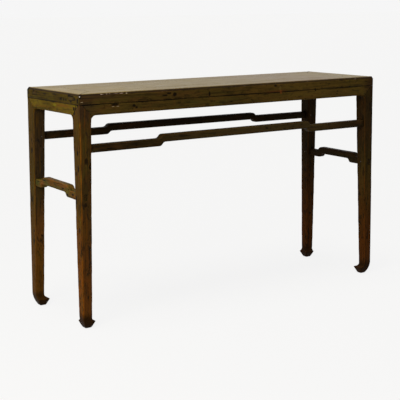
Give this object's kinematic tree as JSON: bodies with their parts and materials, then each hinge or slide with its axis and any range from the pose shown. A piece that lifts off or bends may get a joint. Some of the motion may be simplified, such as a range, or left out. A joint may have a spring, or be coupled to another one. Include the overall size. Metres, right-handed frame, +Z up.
{
  "type": "altar table",
  "caption": "Long narrow waistless altar table with flush mitred corner legs on hoof feet, a floating panel top and humpback stretchers between the legs.",
  "frame": {"origin": "on the floor under the middle of the top", "axes": "+X along the table's length, +Y from the front to the back, +Z up"},
  "size_m": [1.406, 0.418, 0.85],
  "materials": {
    "lacquered_elm": "worn dark brown lacquer on elm, satin, rubbed to red-brown along its edges",
    "lacquered_legs": "worn dark brown lacquer on elm, satin, turning orange-brown low on the legs and near black on the feet",
    "lacquered_panel": "dark brown lacquer on elm boards, polished by use",
    "bare_elm": "unlacquered aged elm, planed",
    "bamboo": "split bamboo pegs, darkened with age"
  },
  "bodies": {
    "root": {"apron_back": "lacquered_elm", "apron_front": "lacquered_elm", "apron_left": "lacquered_elm", "apron_pegs": "bamboo", "apron_right": "lacquered_elm", "frame_pegs": "bamboo", "leg_back_left": "lacquered_legs", "leg_back_right": "lacquered_legs", "leg_front_left": "lacquered_legs", "leg_front_right": "lacquered_legs", "panel_brace_1": "bare_elm", "panel_brace_2": "bare_elm", "panel_brace_3": "bare_elm", "panel_brace_4": "bare_elm", "stretcher_back": "lacquered_elm", "stretcher_front": "lacquered_elm", "stretcher_left": "lacquered_elm", "stretcher_pegs": "bamboo", "stretcher_right": "lacquered_elm", "top_board_back": "lacquered_panel", "top_board_front": "lacquered_panel", "top_end_left": "lacquered_elm", "top_end_right": "lacquered_elm", "top_rail_back": "lacquered_elm", "top_rail_front": "lacquered_elm"}
  },
  "joints": []
}
